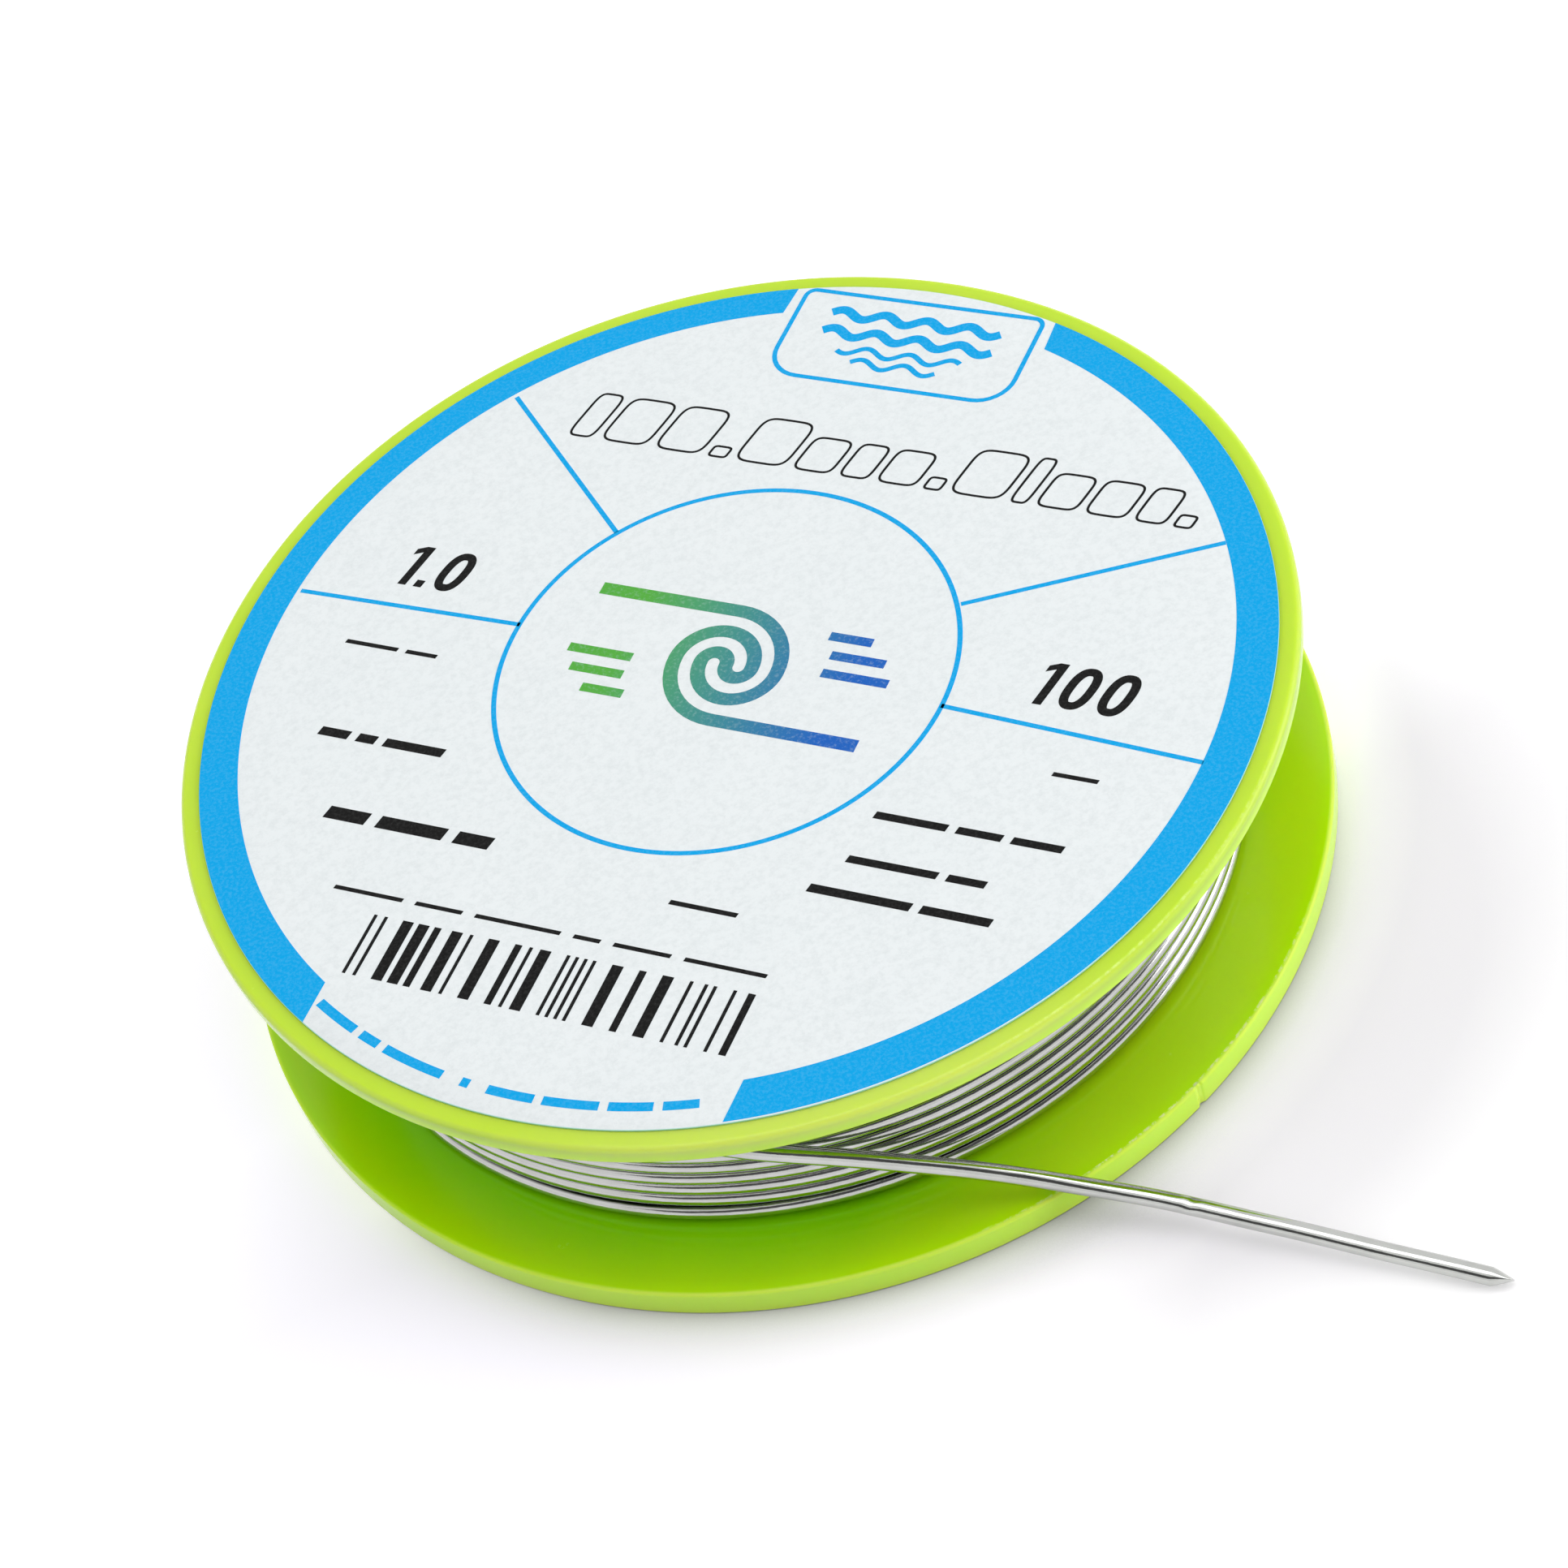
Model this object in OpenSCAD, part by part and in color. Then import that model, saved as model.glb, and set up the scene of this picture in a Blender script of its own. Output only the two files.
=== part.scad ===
// Flat plastic reel with flux-cored solder wire.
// Millimetres, +Z up. The origin is the centre of the underside, and the reel's axis is Z.

/* [Reel] */
// Diameter of both flanges
flange_d = 63; // [58:1:80]
// Width of the reel over both flanges
reel_h = 15.1; // [12:0.1:20]
// Thickness of the upper flange, which carries the label
upper_flange_t = 1.3; // [1:0.1:1.8]
// Thickness of the lower flange, which the reel stands on
lower_flange_t = 1.7; // [1.2:0.1:2.2]
// Radius on the edges of both flanges
rim_round = 0.35; // [0.1:0.05:0.4]
// Outside diameter of the barrel that the wire is wound on
barrel_d = 33; // [28:1:38]
// Wall of the barrel
barrel_wall = 1.5; // [1:0.1:2.5]
// Fillet where the barrel meets the flanges
barrel_fillet = 0.5; // [0.2:0.1:0.8]
// Depth of the mark that the mould's gate leaves in both rims
gate_depth = 0.2; // [0.1:0.05:0.4]
// Width of the gate mark along the rim
gate_width = 1.4; // [0.8:0.1:3]
// Bearing of the gate mark
gate_bearing = -60; // [-90:1:90]

/* [Hub] */
// Bore for the spindle of a reel stand
bore_d = 11; // [8:0.5:13]
// Wall of the hub tube round the bore
hub_wall = 1.6; // [1:0.1:2.5]
// Chamfer at the mouth of the bore
bore_chamfer = 0.5; // [0.2:0.1:1]
// Number of ribs between the hub tube and the barrel
rib_count = 4; // [3:1:6]
// Thickness of a rib
rib_t = 1.2; // [0.8:0.1:2]
// Depth of the ribs below the lower face of the reel
rib_inset = 1; // [0.5:0.1:3]
// Hole in the lower flange that holds the start of the wire
start_hole_d = 1.6; // [1.4:0.1:2.4]

/* [Label] */
// Diameter of the round paper label
label_d = 60.7; // [50:0.1:61]
// Thickness of the label
label_t = 0.12; // [0.1:0.01:0.3]

/* [Solder] */
// Diameter of the solder wire
wire_d = 1; // [0.8:0.1:1.1]
// Outside diameter of the wound solder
winding_d = 53.6; // [51:0.1:54]
// Turns in the outer layer
outer_turns = 7.35; // [3:0.05:7.5]
// Bearing of the point where the last turn runs out into the free end
runout_bearing = -146; // [-150:1:-140]
// Clearance between the wire and the plastic
wire_clearance = 0.05; // [0.02:0.01:0.1]
// Length of the pinched bevel at the cut tip of the free end
tip_bevel = 1.1; // [0.6:0.1:2]
// Thickness that is left at the edge of the pinched tip
tip_edge = 0.12; // [0.08:0.02:0.3]
// Turn of the pinched edge about the wire
tip_angle = 30; // [0:5:90]

/* [Hidden] */

CIRCLE_FN = 96;
ROUND_FN = 24;
EPS = 0.01;

REEL_GREEN = [0.55, 0.80, 0.05];
LABEL_WHITE = [0.94, 0.96, 0.95];
SOLDER_GREY = [0.78, 0.79, 0.77];

// Reel
flange_r = flange_d / 2;
barrel_r = barrel_d / 2;
barrel_bore_r = barrel_r - barrel_wall;
bore_r = bore_d / 2;
hub_r = bore_r + hub_wall;
gap_low = lower_flange_t;
gap_high = reel_h - upper_flange_t;

// Outer layer of the winding: one wire on a helix
LOOP_RINGS = 24;
LOOP_SIDES = 6;
wire_r = wire_d / 2;
turn_r = winding_d / 2 - wire_r;
first_turn_z = gap_low + wire_clearance + wire_r;
last_turn_z = gap_high - wire_clearance - wire_r;
turn_pitch = (last_turn_z - first_turn_z) / outer_turns;
ring_step = 360 / LOOP_RINGS;
helix_rings = ceil(outer_turns * LOOP_RINGS);

// Inner layers: a plain ring of wound wire that the chords of the outer layer clear
chord_sag = turn_r * (1 - cos(ring_step / 2));
inner_layers_r = turn_r - chord_sag - wire_r - wire_clearance;
start_tail_r = barrel_r + barrel_fillet + start_hole_d / 2;
start_tail_lift = 0.2;

// Free end: the bearing from the run-out, the radius over the last turn and the height, to where
// the wire leaves the winding
RUNOUT_ROUTE = [
    [4, 0.1, 13.25],
    [9, 0.35, 13.2],
    [14, 0.7, 13.0],
    [19, 1.05, 12.6],
    [24, 1.25, 12.0],
    [29, 1.35, 11.2],
    [34, 1.45, 10.3]
];
// From there it crosses the gap, lies on the rim of the lower flange and comes down to its tip
FREE_ROUTE = [
    [-7.7, -26.8, 9.2],
    [-5.2, -27.4, 8.1],
    [-2.7, -28.0, 7.0],
    [-0.3, -28.6, 5.8],
    [2.0, -29.1, 4.6],
    [4.3, -29.8, 3.5],
    [6.5, -30.6, 2.5],
    [8.7, -31.9, 2.1],
    [10.8, -33.3, 1.9],
    [12.8, -34.8, 1.7],
    [14.8, -36.4, 1.5],
    [16.8, -37.9, 1.3],
    [18.8, -39.5, 1.1],
    [20.8, -41.1, 0.9],
    [22.8, -42.7, 0.8],
    [24.8, -44.3, 0.6]
];
FREE_TIP = [25.8, -45.0, 0.56];
FREE_SIDES = 8;

// A point at a bearing, radius and height
function polar(bearing, radius, z) = [radius * cos(bearing), radius * sin(bearing), z];

function unit(v) = v / norm(v);

// Points of the outer layer, each end run out straight for one wire diameter
function helix_point(turned) = polar(
    runout_bearing - 360 * (outer_turns - turned),
    turn_r,
    first_turn_z + turn_pitch * turned
);
function helix_heading(turned) =
    let (bearing = runout_bearing - 360 * (outer_turns - turned))
    unit([-sin(bearing), cos(bearing), 0]);
helix_body = [for (i = [0:helix_rings]) helix_point(outer_turns * i / helix_rings)];
helix_start = helix_body[0] - wire_d * helix_heading(0);
helix_end = helix_body[helix_rings] + wire_d * helix_heading(outer_turns);
helix_path = concat([helix_start], helix_body, [helix_end]);

// Route of the free end, from the face of the last turn's straight end to the cut tip
runout_path = [
    for (p = RUNOUT_ROUTE) polar(runout_bearing + p[0], turn_r + p[1], p[2] - RUNOUT_ROUTE[0][2] + last_turn_z)
];
free_path = concat([helix_end], runout_path, FREE_ROUTE);

// Least distance between the wire's surface and itself, on points half a turn or more apart
half_turn = LOOP_RINGS / 2;
helix_self_gap = min([
    for (i = [0:len(helix_path) - 1])
        for (j = [i + half_turn:1:len(helix_path) - 1])
            norm(helix_path[i] - helix_path[j])
]) - wire_d;
echo(outer_layer_least_gap_to_itself = helix_self_gap);

// Heading of a path at a point: along its neighbours, or straight at its ends
function path_heading(path, i) =
    let (last = len(path) - 1)
    unit(path[min(i + 1, last)] - path[max(i - 1, 0)]);

// A ring of points square to a heading that is never vertical
function ring_points(centre, heading, radius, sides) =
    let (
        side = unit(cross(heading, [0, 0, 1])),
        rise = cross(side, heading)
    )
    [for (k = [0:sides - 1]) centre + radius * (cos(360 * k / sides) * side + sin(360 * k / sides) * rise)];

// The same ring pinched to a thin edge at an angle about the wire
function pinched_points(centre, heading, radius, sides, angle, edge) =
    let (
        side = unit(cross(heading, [0, 0, 1])),
        rise = cross(side, heading),
        along = cos(angle) * rise + sin(angle) * side,
        across = cos(angle) * side - sin(angle) * rise
    )
    [
        for (k = [0:sides - 1])
            let (
                spoke = cos(360 * k / sides) * side + sin(360 * k / sides) * rise,
                reach = spoke * across
            )
            centre + radius * (spoke * along) * along + edge / 2 * reach * across
    ];

// One closed tube of triangles through rings of points
module ring_tube(rings) {
    sides = len(rings[0]);
    last = len(rings) - 1;
    points = [for (ring = rings) for (p = ring) p];
    walls = [
        for (i = [0:last - 1])
            for (k = [0:sides - 1])
                let (
                    a = i * sides + k,
                    b = i * sides + (k + 1) % sides
                )
                each [[a, b, b + sides], [a, b + sides, a + sides]]
    ];
    start_cap = [for (k = [1:sides - 2]) [0, k + 1, k]];
    end_cap = [for (k = [1:sides - 2]) [last * sides, last * sides + k, last * sides + k + 1]];
    polyhedron(points = points, faces = concat(walls, start_cap, end_cap));
}

// Profile of a disc from a bore to a rim whose two corners are rounded
module disc_profile(inner_r, outer_r, low, high) {
    square_r = outer_r - rim_round;
    translate([inner_r, low])
        square([square_r - inner_r, high - low]);
    translate([inner_r, low + rim_round])
        square([outer_r - inner_r, high - low - 2 * rim_round]);
    for (level = [low + rim_round, high - rim_round])
        translate([square_r, level])
            circle(rim_round, $fn = ROUND_FN);
}

// Cross-section of the reel between its axis and the rim
module reel_profile() {
    difference() {
        union() {
            disc_profile(barrel_bore_r, flange_r, 0, lower_flange_t);
            disc_profile(bore_r, flange_r, gap_high, reel_h);
            translate([barrel_bore_r, 0])
                square([barrel_wall, reel_h - rim_round]);
            translate([bore_r, 0])
                square([hub_wall, reel_h - rim_round]);
            fillet_profile(gap_low, 1);
            fillet_profile(gap_high, -1);
        }
        bore_chamfer_profile();
    }
}

// Fillet between the barrel and a flange's inner face; rise is 1 upwards and -1 downwards
module fillet_profile(level, rise) {
    translate([barrel_r - EPS, level])
        scale([1, rise])
            difference() {
                translate([0, -EPS])
                    square(barrel_fillet + EPS);
                translate([barrel_fillet + EPS, barrel_fillet])
                    circle(barrel_fillet, $fn = ROUND_FN);
            }
}

// Lead-in at the lower mouth of the bore
module bore_chamfer_profile() {
    polygon([
        [bore_r - EPS, -EPS],
        [bore_r + bore_chamfer + EPS, -EPS],
        [bore_r - EPS, bore_chamfer + EPS]
    ]);
}

// Ribs that join the hub tube to the barrel, set back from the lower face
module ribs() {
    rib_length = barrel_bore_r - hub_r + 2 * EPS;
    rib_height = gap_high - rib_inset + EPS;
    for (i = [0:rib_count - 1])
        rotate(45 + 360 * i / rib_count)
            translate([hub_r - EPS, -rib_t / 2, rib_inset])
                cube([rib_length, rib_t, rib_height]);
}

// Shallow hollow cutter that crosses both rims at the gate
module gate_mark() {
    cutter_r = (gate_width * gate_width / 4 + gate_depth * gate_depth) / (2 * gate_depth);
    rotate(gate_bearing)
        translate([flange_r - gate_depth + cutter_r, 0, -EPS])
            cylinder(r = cutter_r, h = reel_h + 2 * EPS, $fn = CIRCLE_FN);
}

// One moulding: two flanges, the barrel, and the ribbed hub inside it, open underneath
module reel() {
    color(REEL_GREEN)
        difference() {
            union() {
                rotate_extrude($fn = CIRCLE_FN)
                    reel_profile();
                ribs();
            }
            translate([0, start_tail_r, -EPS])
                cylinder(d = start_hole_d, h = lower_flange_t + 2 * EPS, $fn = ROUND_FN);
            gate_mark();
        }
}

// Round self-adhesive paper label, which also covers the upper end of the bore
module label() {
    color(LABEL_WHITE)
        translate([0, 0, reel_h])
            cylinder(d = label_d, h = label_t, $fn = CIRCLE_FN);
}

// The layers under the outer one, with the start of the wire in its hole
module solder_inner_layers() {
    low = gap_low + wire_clearance;
    high = gap_high - wire_clearance;
    inner_r = barrel_r + wire_clearance;
    relief = barrel_fillet;
    color(SOLDER_GREY) {
        rotate_extrude($fn = CIRCLE_FN)
            polygon([
                [inner_r, low + relief],
                [inner_r + relief, low],
                [inner_layers_r, low],
                [inner_layers_r, high],
                [inner_r + relief, high],
                [inner_r, high - relief]
            ]);
        translate([0, start_tail_r, start_tail_lift])
            cylinder(d = wire_d, h = low - start_tail_lift + EPS, $fn = ROUND_FN);
    }
}

// The outer layer, wound as one wire
module solder_outer_layer() {
    color(SOLDER_GREY)
        ring_tube([
            for (i = [0:len(helix_path) - 1])
                ring_points(helix_path[i], path_heading(helix_path, i), wire_r, LOOP_SIDES)
        ]);
}

// The free end: off the winding, over the lower rim and down to its pinched tip
module solder_free_end() {
    last = len(free_path) - 1;
    tip_heading = unit(FREE_TIP - free_path[last]);
    shoulder = FREE_TIP - tip_bevel * tip_heading;
    color(SOLDER_GREY)
        ring_tube(concat(
            [ring_points(free_path[0], helix_heading(outer_turns), wire_r, FREE_SIDES)],
            [for (i = [1:last - 1]) ring_points(free_path[i], path_heading(free_path, i), wire_r, FREE_SIDES)],
            [
                ring_points(shoulder, tip_heading, wire_r, FREE_SIDES),
                pinched_points(FREE_TIP, tip_heading, wire_r, FREE_SIDES, tip_angle, tip_edge)
            ]
        ));
}

reel();
label();
solder_inner_layers();
solder_outer_layer();
solder_free_end();
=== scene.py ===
"""Solder wire spool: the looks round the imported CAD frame. Lengths here are millimetres times MM."""

import math
import random

import bmesh
import bpy
from mathutils import Matrix, Vector


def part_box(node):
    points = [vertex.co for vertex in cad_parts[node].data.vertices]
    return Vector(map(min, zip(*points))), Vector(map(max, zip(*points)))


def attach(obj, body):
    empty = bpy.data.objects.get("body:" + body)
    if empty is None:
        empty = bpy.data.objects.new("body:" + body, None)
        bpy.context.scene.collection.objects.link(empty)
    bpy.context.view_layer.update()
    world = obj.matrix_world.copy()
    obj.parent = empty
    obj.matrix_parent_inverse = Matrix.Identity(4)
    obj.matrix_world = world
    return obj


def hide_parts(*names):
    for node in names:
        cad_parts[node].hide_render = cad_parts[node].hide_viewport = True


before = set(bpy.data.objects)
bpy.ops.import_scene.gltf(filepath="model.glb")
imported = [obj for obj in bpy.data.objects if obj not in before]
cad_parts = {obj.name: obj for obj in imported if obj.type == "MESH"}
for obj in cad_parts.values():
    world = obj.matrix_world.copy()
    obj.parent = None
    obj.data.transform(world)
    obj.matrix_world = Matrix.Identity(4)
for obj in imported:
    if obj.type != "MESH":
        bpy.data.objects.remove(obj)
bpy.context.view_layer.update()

MM = 0.001
BODY = "root"

# Camera: the photograph's own place, aim and roll, fitted to both rims and the label
CAMERA_PLACE = Vector((-3.870, -163.363, 184.039)) * MM
CAMERA_RIGHT = Vector((0.934052, -0.275718, -0.226995))
CAMERA_FORWARD = Vector((0.019798, 0.674593, -0.737924))
CAMERA_LENS = 98.39
CAMERA_SENSOR = 36.0

# Reel, from the CAD nodes
REEL_LOW, REEL_HIGH = (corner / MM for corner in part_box("reel"))
LABEL_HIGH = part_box("label")[1] / MM
REEL_TOP = REEL_HIGH.z
LABEL_R = LABEL_HIGH.x
LABEL_TOP = LABEL_HIGH.z

# Wire and winding, as the part's source has them
WIRE_D = 1.0
WIRE_R = WIRE_D / 2
TURN_R = 26.3
FIRST_TURN_Z = 2.25
LAST_TURN_Z = 13.25
RUNOUT_BEARING = -146.0

# Free end: bearing from the run-out, radius over the last turn and height, then x, y and z
RUNOUT_ROUTE = [
    (4, 0.1, 13.25), (9, 0.35, 13.2), (14, 0.7, 13.0), (19, 1.05, 12.6), (24, 1.25, 12.0), (29, 1.35, 11.2),
    (34, 1.45, 10.3),
]
FREE_ROUTE = [
    (-7.7, -26.8, 9.2), (-5.2, -27.4, 8.1), (-2.7, -28.0, 7.0), (-0.3, -28.6, 5.8), (2.0, -29.1, 4.6),
    (4.3, -29.8, 3.5), (6.5, -30.6, 2.5), (8.7, -31.9, 2.1), (10.8, -33.3, 1.9), (12.8, -34.8, 1.7),
    (14.8, -36.4, 1.5), (16.8, -37.9, 1.3), (18.8, -39.5, 1.1), (20.8, -41.1, 0.9), (22.8, -42.7, 0.8),
    (24.8, -44.3, 0.6),
]
FREE_TIP = (25.8, -45.0, 0.56)


# ---------------- camera, light and floor


def add_object(name, data):
    made = bpy.data.objects.new(name, data)
    bpy.context.collection.objects.link(made)
    return made


def add_camera():
    data = bpy.data.cameras.new("camera")
    data.lens = CAMERA_LENS
    data.sensor_width = CAMERA_SENSOR
    data.clip_start = 0.01
    camera = add_object("camera", data)
    up = CAMERA_RIGHT.cross(CAMERA_FORWARD)
    axes = Matrix((CAMERA_RIGHT, up, -CAMERA_FORWARD)).transposed()
    camera.matrix_world = Matrix.Translation(CAMERA_PLACE) @ axes.to_4x4()
    bpy.context.scene.camera = camera


# The world's light: full from most sides, and dim from the bearing where the photographer stands. The
# cosines off that bearing are the ones at which it starts to sink and is dim
WORLD_LIGHT, WORLD_DIM_LIGHT = 0.50, 0.34
WORLD_DIM_BEARING = -112.0
WORLD_COSINES = (0.0, 0.6)


def add_world():
    world = bpy.data.worlds.new("studio")
    bpy.context.scene.world = world
    tree = Tree("studio", world, bare=True)
    facing = tree.towards(tree.node("TexCoord").outputs["Generated"], WORLD_DIM_BEARING)
    strength = tree.spread(facing, *WORLD_COSINES, WORLD_LIGHT, WORLD_DIM_LIGHT)
    light = tree.node("Background", {"Color": WHITE, "Strength": strength})
    backdrop = tree.node("Background", {"Color": WHITE, "Strength": 1.0})
    tree.show(light, backdrop, "OutputWorld")


def add_softbox(name, place, aim, width, height, radiance):
    """A rectangular area light of a given radiance, whose power follows from its size."""
    data = bpy.data.lights.new(name, "AREA")
    data.shape = "RECTANGLE"
    data.size = width
    data.size_y = height
    data.energy = math.pi * width * height * radiance
    light = add_object(name, data)
    light.location = place
    light.rotation_euler = (Vector(aim) - Vector(place)).to_track_quat("-Z", "Y").to_euler()
    return light


def add_plane(name, corners, material):
    """A flat piece of the studio, in metres."""
    mesh = bpy.data.meshes.new(name)
    mesh.from_pydata([tuple(corner) for corner in corners], [], [(0, 1, 2, 3)])
    mesh.materials.append(material)
    return add_object(name, mesh)


FLOOR_HALF, FLOOR_Z = 2.0, -0.00002
# The floor's paper, and what camera and reflections see of it: near the reel a tone that cancels its green
# glow, with the distances between which that ends, and white on top, with more of it on the far side
FLOOR_COLOUR = (0.80, 0.80, 0.80)
FLOOR_NEAR, FLOOR_FAR = (0.86, 0.81, 0.91), (0.85, 0.84, 0.855)
FLOOR_NEAR_TO, FLOOR_FAR_FROM = 34.0, 48.0
FLOOR_LIFT, FLOOR_BACK_LIFT = 0.27, 0.42
BACK_FROM, BACK_TO = 14.0, 2.0
# On the left the green glow is stronger: the tone there, and its side. A side is a bearing, and how far
# towards it a place has to lie for a thing to start and to be full
FLOOR_LEFT = (0.86, 0.805, 0.955)
LEFT_SIDE = (-155.0, 25.0, 33.0)
# The contact shadow on the floor: how far round it looks, and with how many rays, its side, and the distances
# from the axis between which it ends
SHADOW_REACH, SHADOW_RAYS = 6.0, 8
SHADOW_BEARING = -82.0
SHADOW_SIDE = (SHADOW_BEARING, 10.0, 23.0)
SHADOW_TO, SHADOW_NONE_FROM = 33.5, 37.5
# The wide soft shadow on the right: its side, the distances from the axis where it starts and is deepest, the
# middle of its round outer edge, the distances from there between which it ends, and what it leaves of the
# light
SOFT_SIDE = (-28.0, 22.0, 28.0)
SOFT_START, SOFT_DEEPEST = 33.0, 36.0
SOFT_MIDDLE = Vector((10.5, -13.2, 0.0))
SOFT_EDGE, SOFT_END = 24.5, 31.5
SOFT_LEAVES = 0.86


def floor_material():
    """Pale paper that keeps the object's shadow, and that camera and reflections see nearly white."""
    tree = Tree("floor", bare=True)
    place = tree.position()
    reach = tree.from_axis(place)
    around = tree.node("AmbientOcclusion", {"Distance": SHADOW_REACH * MM}, samples=SHADOW_RAYS)
    depth = tree.times(tree.side(place, *SHADOW_SIDE),
                       tree.ramp(reach, SHADOW_TO, SHADOW_NONE_FROM, 1.0, 0.0))
    contact = tree.combine("POWER", around.outputs["AO"], depth)
    band = tree.times(tree.ramp(reach, SOFT_START, SOFT_DEEPEST),
                      tree.ramp(tree.from_axis(place, SOFT_MIDDLE), SOFT_EDGE, SOFT_END, 1.0, 0.0))
    soft = tree.times(band, tree.side(place, *SOFT_SIDE))
    shade = tree.times(contact, tree.spread(soft, 0.0, 1.0, 1.0, SOFT_LEAVES))
    near = tree.blend(tree.side(place, *LEFT_SIDE), FLOOR_NEAR, FLOOR_LEFT)
    tone = tree.blend(tree.ramp(reach, FLOOR_NEAR_TO, FLOOR_FAR_FROM), near, FLOOR_FAR)
    front = tree.towards(place, SHADOW_BEARING)
    white = tree.ramp(front, BACK_TO, BACK_FROM, FLOOR_BACK_LIFT, FLOOR_LIFT)
    plain = tree.node("BsdfDiffuse", {"Color": FLOOR_COLOUR})
    balanced = tree.node("BsdfDiffuse", {"Color": tree.blend(shade, BLACK, tone)})
    lift = tree.node("Emission", {"Color": WHITE, "Strength": tree.times(shade, white)})
    seen = tree.node("AddShader", {0: balanced.outputs[0], 1: lift.outputs[0]})
    tree.show(plain, seen, "OutputMaterial")
    return tree.owner


def add_floor():
    half = FLOOR_HALF
    floor = add_plane("floor", [(-half, -half, 0), (half, -half, 0), (half, half, 0), (-half, half, 0)],
                      floor_material())
    floor.location.z = FLOOR_Z


# Dark card where a photographer stands: bearing, elevation, distance, width and height, in degrees and metres
CARD_BEARING, CARD_ELEVATION, CARD_DISTANCE = -84.0, 43.0, 0.36
CARD_WIDTH, CARD_HEIGHT = 0.90, 0.20
CARD_TONE = (0.10, 0.10, 0.10)


def add_dark_card():
    """A dark card in front, over the camera. Only reflections see it, as the dark line beside a highlight."""
    turn, rise = math.radians(CARD_BEARING), math.radians(CARD_ELEVATION)
    outward = Vector((math.cos(turn) * math.cos(rise), math.sin(turn) * math.cos(rise), math.sin(rise)))
    across = Vector((-math.sin(turn), math.cos(turn), 0.0)) * CARD_WIDTH / 2
    upward = outward.cross(across).normalized() * CARD_HEIGHT / 2
    centre = outward * CARD_DISTANCE
    corners = [centre - across - upward, centre + across - upward,
               centre + across + upward, centre - across + upward]
    tree = Tree("dark_card", bare=True)
    tree.node("OutputMaterial", {"Surface": tree.node("Emission", {"Color": CARD_TONE}).outputs[0]})
    card = add_plane("dark_card", corners, tree.owner)
    card.visible_camera = card.visible_diffuse = card.visible_shadow = card.visible_transmission = False


# ---------------- materials

WHITE, BLACK = (1.0, 1.0, 1.0), (0.0, 0.0, 0.0)


class Tree:
    """The node tree of a new material or of the world. Its values are sockets, numbers and tuples."""

    def __init__(self, name, world=None, bare=False):
        self.owner = world or bpy.data.materials.new(name)
        self.owner.use_nodes = True
        self.nodes, self.links = self.owner.node_tree.nodes, self.owner.node_tree.links
        if bare:
            self.nodes.clear()

    def feed(self, node, inputs):
        for key, value in inputs.items():
            socket = node.inputs[key]
            if isinstance(value, bpy.types.NodeSocket):
                self.links.new(value, socket)
            else:
                socket.default_value = (*value, 1.0) if socket.type == "RGBA" else value

    def node(self, kind, inputs=None, **settings):
        node = self.nodes.new("ShaderNode" + kind)
        for name, setting in settings.items():
            setattr(node, name, setting)
        self.feed(node, inputs or {})
        return node

    def fill(self, inputs):
        """Set the inputs of the material's own shader."""
        self.feed(self.nodes["Principled BSDF"], inputs)
        return self.owner

    def show(self, lit, seen, out):
        """One shader for the light in the scene, and another for camera, glossy and transmission rays."""
        path = self.node("LightPath").outputs
        direct = self.combine("MAXIMUM", path["Is Camera Ray"], path["Is Glossy Ray"])
        factor = self.combine("MAXIMUM", direct, path["Is Transmission Ray"])
        mix = self.node("MixShader", {"Fac": factor, 1: lit.outputs[0], 2: seen.outputs[0]})
        self.node(out, {"Surface": mix.outputs[0]})

    def position(self):
        return self.node("TexCoord").outputs["Object"]

    def noise(self, vector, scale, detail, roughness):
        return self.node("TexNoise", {"Vector": vector, "Scale": scale, "Detail": detail,
                                      "Roughness": roughness}).outputs["Fac"]

    def spread(self, value, low, high, out_low=0.0, out_high=1.0):
        """Map a value's range to another, clamped."""
        return self.node("MapRange", {"Value": value, "From Min": low, "From Max": high, "To Min": out_low,
                                      "To Max": out_high}).outputs["Result"]

    def ramp(self, length, low, high, out_low=0.0, out_high=1.0):
        """Map a range of lengths in millimetres to another."""
        return self.spread(length, low * MM, high * MM, out_low, out_high)

    def combine(self, operation, *values):
        """Values worked into one."""
        return self.node("Math", dict(enumerate(values)), operation=operation).outputs[0]

    def times(self, first, second):
        return self.combine("MULTIPLY", first, second)

    def blend(self, factor, first, second):
        """A colour between two."""
        return self.node("Mix", {"Factor": factor, 6: first, 7: second}, data_type="RGBA").outputs[2]

    def towards(self, vector, bearing):
        """How far a place or direction reaches towards a bearing."""
        node = self.node("VectorMath", {0: vector, 1: polar(bearing, 1, 0)}, operation="DOT_PRODUCT")
        return node.outputs["Value"]

    def side(self, place, bearing, starts, full, least=0.0):
        """How much a place belongs to a side, from its least share to 1."""
        return self.ramp(self.towards(place, bearing), starts, full, least)

    def from_axis(self, place, middle=Vector((0.0, 0.0, 0.0))):
        """A place's distance from the reel's axis, or from an upright line through another middle."""
        inputs = {0: place, 1: (1.0, 1.0, 0.0), 2: -middle * MM}
        flat = self.node("VectorMath", inputs, operation="MULTIPLY_ADD").outputs["Vector"]
        return self.node("VectorMath", {0: flat}, operation="LENGTH").outputs["Value"]

    def bump(self, height, distance):
        return self.node("Bump", {"Height": height, "Distance": distance * MM}).outputs["Normal"]


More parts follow.
